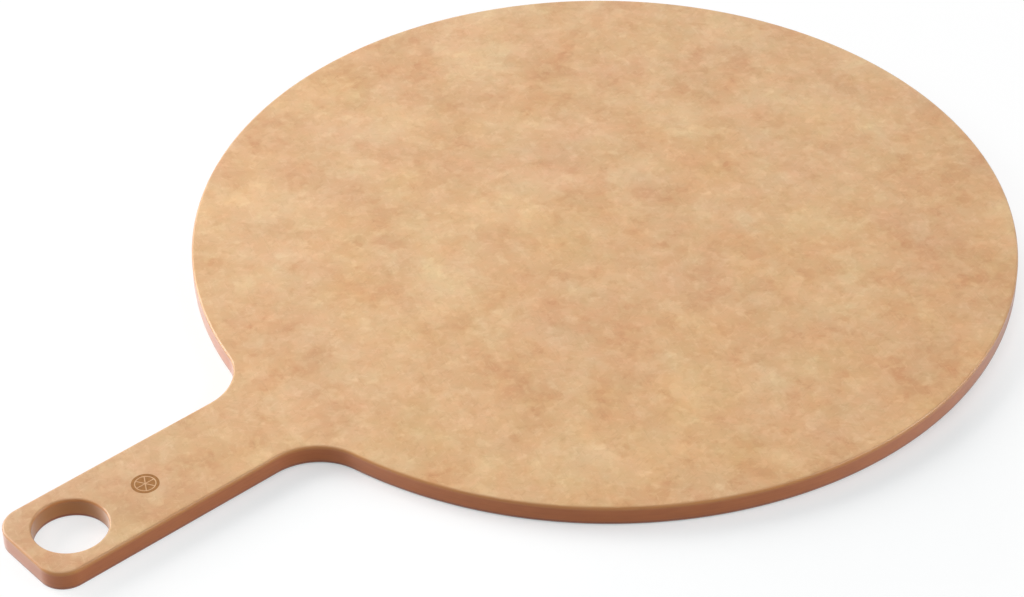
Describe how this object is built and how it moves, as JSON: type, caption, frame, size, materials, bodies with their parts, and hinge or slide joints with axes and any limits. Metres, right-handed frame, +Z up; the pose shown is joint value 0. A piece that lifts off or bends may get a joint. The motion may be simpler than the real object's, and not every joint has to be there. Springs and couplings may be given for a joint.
{
  "type": "pizza serving board",
  "caption": "Round pizza serving board with a straight handle and a hanging hole, pressed from wood-fibre sheets, with softly rounded edges.",
  "frame": {"origin": "centre of the round disc on the board's underside", "axes": "+Z up out of the serving face; +Y from the handle towards the far rim of the disc, so the handle points along -Y"},
  "size_m": [0.355, 0.4799, 0.0092],
  "materials": {
    "face_sheet": "pressed wood-fibre laminate, tan, softly mottled, satin",
    "core": "pressed wood-fibre laminate, reddish brown machined edge, matt"
  },
  "bodies": {
    "root": {"bottom_face_sheet": "face_sheet", "core": "core", "top_face_sheet": "face_sheet"}
  },
  "joints": []
}
